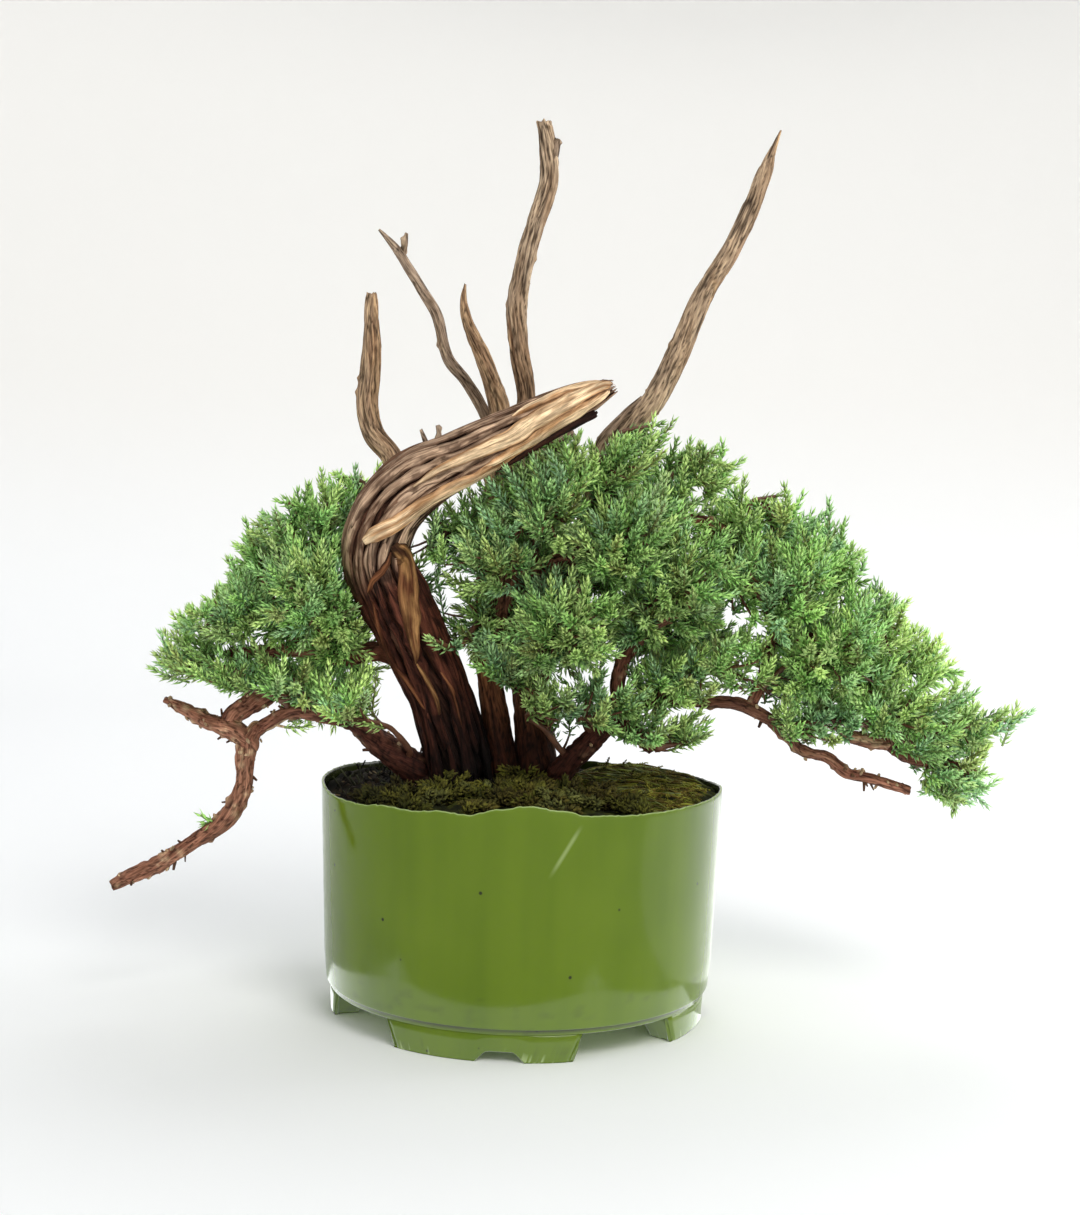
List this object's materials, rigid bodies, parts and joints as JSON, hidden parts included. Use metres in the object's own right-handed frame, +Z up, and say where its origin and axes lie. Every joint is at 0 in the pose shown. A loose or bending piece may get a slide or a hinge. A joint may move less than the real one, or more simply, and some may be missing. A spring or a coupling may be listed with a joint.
{
  "type": "bonsai tree in a pot",
  "caption": "Juniper bonsai with a twisted trunk, bare dead branches and needle sprays, growing in a cut-down round plastic pot on skirt feet.",
  "frame": {"origin": "on the ground under the middle of the whole plant's bounding box; the pot's own axis is 33.6 mm towards -X from it", "axes": "+Z up; +Y away from the front, so the front view looks along +Y with +X to the right, where the foliage trails furthest"},
  "size_m": [0.5908, 0.2588, 0.5801],
  "materials": {
    "pot_plastic": "gloss",
    "soil": "matte",
    "moss": "matte",
    "bark": "matte",
    "needles": "satin"
  },
  "bodies": {
    "root": {"pot": "pot_plastic", "soil": "soil", "moss_front": "moss", "moss_right": "moss", "woody_plant": "bark", "spray_01": "needles", "spray_02": "needles", "spray_03": "needles", "spray_04": "needles", "spray_05": "needles", "spray_06": "needles", "spray_07": "needles", "spray_08": "needles", "spray_09": "needles", "spray_10": "needles", "spray_11": "needles", "spray_12": "needles", "spray_13": "needles", "spray_14": "needles", "spray_15": "needles", "spray_16": "needles", "spray_17": "needles", "spray_18": "needles", "spray_19": "needles", "spray_20": "needles", "spray_21": "needles", "spray_22": "needles", "spray_23": "needles", "spray_24": "needles", "spray_25": "needles", "spray_26": "needles", "spray_27": "needles", "spray_28": "needles", "spray_29": "needles", "spray_30": "needles", "spray_31": "needles", "spray_32": "needles", "spray_33": "needles", "spray_34": "needles", "spray_35": "needles", "spray_36": "needles", "spray_37": "needles", "spray_38": "needles", "spray_39": "needles", "spray_40": "needles", "spray_41": "needles", "spray_42": "needles", "spray_43": "needles", "spray_44": "needles", "spray_45": "needles", "spray_46": "needles"}
  },
  "joints": []
}
